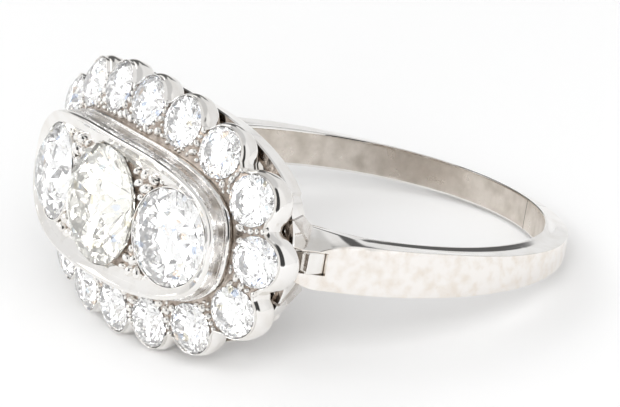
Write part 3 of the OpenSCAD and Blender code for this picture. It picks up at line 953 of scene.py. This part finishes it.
def brilliant(d):
    """Points, faces and slots of a stone: slot 1 is its back, below the girdle."""
    star_r, half_r = 0.39, 0.13
    corner = math.cos(math.pi / 8)
    star_h = GIRDLE_H + (0.5 - star_r * corner) * math.tan(CROWN)
    half_h = -GIRDLE_H - (0.5 - half_r * corner) * math.tan(PAVILION)
    points = []
    for count, r, z, start in ((8, TABLE_R, TABLE_H, 0), (8, star_r, star_h, 22.5), (16, 0.5, GIRDLE_H, 0),
                               (16, 0.5, -GIRDLE_H, 0), (8, half_r, half_h, 22.5)):
        for i in range(count):
            a = math.radians(start + i * 360 / count)
            points.append((r * math.cos(a), r * math.sin(a), z))
    points.append((0, 0, -GIRDLE_H - 0.5 * math.tan(PAVILION)))
    star, upper, lower, half, culet = 8, 16, 32, 48, 56
    faces, slots = [tuple(range(8))], [0]
    for i in range(8):
        j, before = (i + 1) % 8, (i + 7) % 8
        g, h, k = 2 * i, 2 * i + 1, (2 * i + 2) % 16
        faces += [(i, star + i, j), (i, star + before, upper + g, star + i), (star + i, upper + g, upper + h),
                  (star + i, upper + h, upper + k), (upper + g, lower + g, lower + h, upper + h),
                  (upper + h, lower + h, lower + k, upper + k), (half + i, lower + h, lower + g),
                  (half + i, lower + k, lower + h), (culet, half + i, lower + g, half + before)]
        slots += [0, 0, 0, 0, 0, 0, 1, 1, 1]
    return np.array(points) * d, faces, slots


def stone(node, d, place, look):
    points, faces, slots = brilliant(d)
    piece = raw_object(node + "_stone", (place(points), faces), slots)
    finish_piece(piece, [look, FOIL], [node], 1)


stone("centre_diamond", CENTRE_D, lambda points: trio_place(0, points), WARM_STONE)
stone("left_diamond", SIDE_D, lambda points: trio_place(-SIDE_X, points), WHITE_STONE)
stone("right_diamond", SIDE_D, lambda points: trio_place(SIDE_X, points), WHITE_STONE)
for i in range(HALO_COUNT):
    stone("halo_diamond_%02d" % (i + 1), HALO_D,
          lambda points, i=i: halo_place(i, points + np.array([0, 0, DOME_R])), WHITE_STONE)

# Floor, light and camera, in metres and degrees

FLOOR_REACH = 3.0
CAMERA_AZIMUTH, CAMERA_ELEVATION = -30.6, 24
CARD_AWAY, CARD_HALF = 0.45, 0.06
ROOM_AWAY, ROOM_COLUMNS, ROOM_ROWS = 0.95, 120, 44

# Parts of the room that the metal reflects as darker: level, then middle azimuth, reach, soft edge,
# lowest and highest elevation. They are the far walls, the ceiling, two dark parts behind, and the camera.
ROOM_ZONES = ((0.87, 130, 75, 20, -5, 90), (0.66, 0, 180, 12, 60, 90), (0.14, 163, 23, 3, 13, 56),
              (0.12, 140, 16, 4, 14, 28), (0.06, -31, 13, 5, 3, 50))


def square(half, z=0.0):
    """Corners and the one face of a level square."""
    return [(-half, -half, z), (half, -half, z), (half, half, z), (-half, half, z)], [], [(0, 1, 2, 3)]


def floor():
    mesh = bpy.data.meshes.new("floor")
    mesh.from_pydata(*square(FLOOR_REACH, cad_box[0][2]))
    piece = bpy.data.objects.new("floor", mesh)
    bpy.context.scene.collection.objects.link(piece)
    material, _, _, shader = new_material("white_table")
    shader.inputs["Base Color"].default_value = (0.97, 0.97, 0.97, 1)
    shader.inputs["Roughness"].default_value = 0.6
    shader.inputs["Specular IOR Level"].default_value = 0.1
    mesh.materials.append(material)


def world():
    """White room: full white to the camera, the metal and the stones, and a plain fill light on everything else."""
    room = bpy.data.worlds.new("white_room")
    bpy.context.scene.world = room
    room.use_nodes = True
    nodes, links = room.node_tree.nodes, room.node_tree.links
    back = nodes["Background"]
    back.inputs["Color"].default_value = (1, 1, 1, 1)
    path = nodes.new("ShaderNodeLightPath")
    seen = nodes.new("ShaderNodeMath")
    seen.operation = "MAXIMUM"
    links.new(path.outputs["Is Camera Ray"], seen.inputs[0])
    links.new(path.outputs["Is Glossy Ray"], seen.inputs[1])
    seen_too = nodes.new("ShaderNodeMath")
    seen_too.operation = "MAXIMUM"
    links.new(seen.outputs[0], seen_too.inputs[0])
    links.new(path.outputs["Is Transmission Ray"], seen_too.inputs[1])
    level = nodes.new("ShaderNodeMapRange")
    level.inputs["To Min"].default_value = 0.58
    level.inputs["To Max"].default_value = 1.0
    links.new(seen_too.outputs[0], level.inputs["Value"])
    links.new(level.outputs["Result"], back.inputs["Strength"])


def around(azimuth, elevation, away):
    """Place seen from the ring at an azimuth and an elevation, and the turn that faces the ring from there."""
    a, e = math.radians(azimuth), math.radians(elevation)
    place = Vector((math.cos(e) * math.cos(a), math.cos(e) * math.sin(a), math.sin(e))) * away
    return place, (-place).to_track_quat("-Z", "Y").to_euler()


def lamp(name, azimuth, elevation, away, size, power, in_metal=True, on_floor=True):
    """Soft box that faces the ring. It can be kept out of the metal's reflections or off the floor."""
    light = bpy.data.lights.new(name, "AREA")
    light.shape = "RECTANGLE"
    light.size, light.size_y = size
    light.energy = power
    piece = bpy.data.objects.new(name, light)
    piece.location, piece.rotation_euler = around(azimuth, elevation, away)
    piece.visible_glossy = in_metal
    piece.visible_diffuse = on_floor
    bpy.context.scene.collection.objects.link(piece)


def step(low, high, value):
    """Smooth step from 0 at low to 1 at high."""
    share = np.clip((value - low) / (high - low), 0, 1)
    return share * share * (3 - 2 * share)


def darkening(azimuth, elevation, middle, reach, soft, low, high):
    """How much a darker part of the room counts in a direction."""
    off = abs((azimuth - middle + 180) % 360 - 180)
    return step(reach + soft, reach, off) * step(low - soft, low, elevation) * step(high + soft, high, elevation)


def room_tone(azimuth, elevation):
    tone = 1.0
    for level, *zone in ROOM_ZONES:
        tone += (level - tone) * darkening(azimuth, elevation, *zone)
    return tone


def room_shell():
    """Walls and ceiling of the studio, as only the metal reflects them."""
    points, tones, faces = [], [], []
    for k in range(ROOM_ROWS + 1):
        for i in range(ROOM_COLUMNS):
            azimuth, elevation = 360 * i / ROOM_COLUMNS, -2 + 92 * k / ROOM_ROWS
            points.append(tuple(around(azimuth, elevation, ROOM_AWAY)[0]))
            tones.append(room_tone(azimuth, elevation))
    for k in range(ROOM_ROWS):
        low, high = k * ROOM_COLUMNS, (k + 1) * ROOM_COLUMNS
        for i in range(ROOM_COLUMNS):
            j = (i + 1) % ROOM_COLUMNS
            faces.append((low + i, low + j, high + j, high + i))
    mesh = bpy.data.meshes.new("studio_room")
    mesh.from_pydata(points, [], faces)
    layer = mesh.attributes.new("tone", "FLOAT", "POINT")
    layer.data.foreach_set("value", tones)
    piece = bpy.data.objects.new("studio_room", mesh)
    bpy.context.scene.collection.objects.link(piece)
    material, nodes, links, shader = new_material("studio_room")
    tone = nodes.new("ShaderNodeAttribute")
    tone.attribute_name = "tone"
    shader.inputs["Base Color"].default_value = (0, 0, 0, 1)
    shader.inputs["Specular IOR Level"].default_value = 0
    links.new(tone.outputs["Fac"], shader.inputs["Emission Color"])
    shader.inputs["Emission Strength"].default_value = 1
    mesh.materials.append(material)
    piece.visible_camera = False
    piece.visible_diffuse = False
    piece.visible_shadow = False
    piece.visible_transmission = False


def camera_card():
    """Dark front of the camera, which the stones see."""
    mesh = bpy.data.meshes.new("camera_card")
    mesh.from_pydata(*square(CARD_HALF))
    piece = bpy.data.objects.new("camera_card", mesh)
    piece.location, piece.rotation_euler = around(CAMERA_AZIMUTH, CAMERA_ELEVATION, CARD_AWAY)
    bpy.context.scene.collection.objects.link(piece)
    material, _, _, shader = new_material("camera_card")
    shader.inputs["Base Color"].default_value = (0.02, 0.02, 0.02, 1)
    mesh.materials.append(material)
    piece.visible_camera = False
    piece.visible_diffuse = False
    piece.visible_shadow = False


floor()
world()
# Azimuth, elevation, distance, size and power
lamp("key_light", -112, 36, 0.75, (0.42, 0.42), 0.85)
lamp("front_light", -20, 42, 0.7, (0.55, 0.55), 1.7, in_metal=False)
lamp("low_light", -42, 22, 0.7, (0.5, 0.4), 2.1, in_metal=False)
lamp("left_light", -165, 40, 0.7, (0.42, 0.42), 0.55)
lamp("stone_light", -92, 24, 0.7, (0.55, 0.45), 3.4, in_metal=False, on_floor=False)
room_shell()
camera_card()

# Enough bounces for light to find its way out of the stones
light_paths = bpy.context.scene.cycles
light_paths.max_bounces = 24
light_paths.glossy_bounces = 16
light_paths.transmission_bounces = 24

# Camera at the photograph's angle
camera_data = bpy.data.cameras.new("camera")
camera_data.sensor_fit = "HORIZONTAL"
camera_data.sensor_width = 36
camera_data.lens = 394.17
camera_data.clip_start = 0.01
camera_data.clip_end = 20
camera = bpy.data.objects.new("camera", camera_data)
camera.location = (0.231104, -0.138395, 0.111194)
camera.rotation_euler = (1.179169, 0.046904, 1.017224)
bpy.context.scene.collection.objects.link(camera)
bpy.context.scene.camera = camera
bpy.context.scene.view_settings.view_transform = "Standard"
